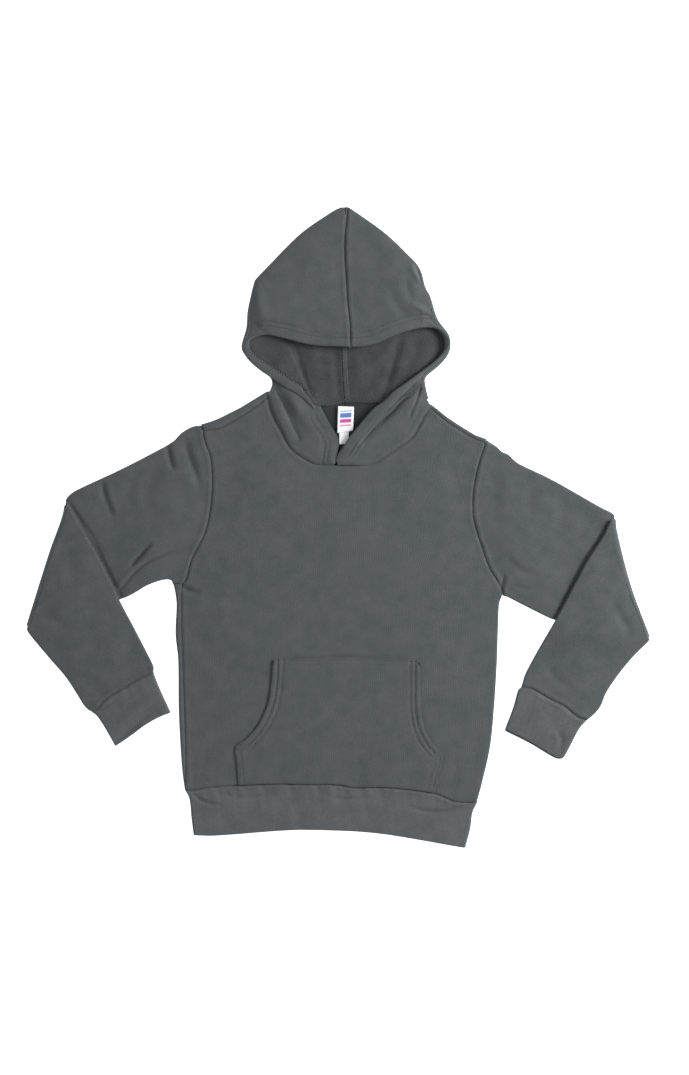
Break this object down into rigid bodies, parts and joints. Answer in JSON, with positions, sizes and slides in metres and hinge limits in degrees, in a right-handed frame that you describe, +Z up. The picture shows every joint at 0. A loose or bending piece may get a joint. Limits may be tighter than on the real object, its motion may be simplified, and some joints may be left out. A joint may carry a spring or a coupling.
{
  "type": "toddler hoodie",
  "caption": "Child's pullover hoodie in brushed fleece laid flat, sleeves folded at the elbow, hood turned up, kangaroo pocket and ribbed cuffs and hem.",
  "frame": {"origin": "on the surface that the garment lies on, below the middle of the garment's box", "axes": "+Y from the hem to the hood, +X towards the wearer's left, +Z up out of the front of the garment"},
  "size_m": [0.6216, 0.6397, 0.014],
  "materials": {
    "fleece": "matt brushed cotton fleece, slate grey",
    "hood_fleece": "matt brushed cotton fleece, slate grey, napped inside",
    "rib": "fine smooth rib knit, slate grey",
    "label": "white woven satin, bare"
  },
  "bodies": {
    "root": {"front_body": "fleece", "back_body": "fleece", "sleeve_right": "fleece", "sleeve_left": "fleece", "pocket": "fleece", "hood_right": "hood_fleece", "hood_left": "hood_fleece", "hem_band": "rib", "cuff_right": "rib", "cuff_left": "rib", "neck_label": "label", "size_tab": "label"}
  },
  "joints": []
}
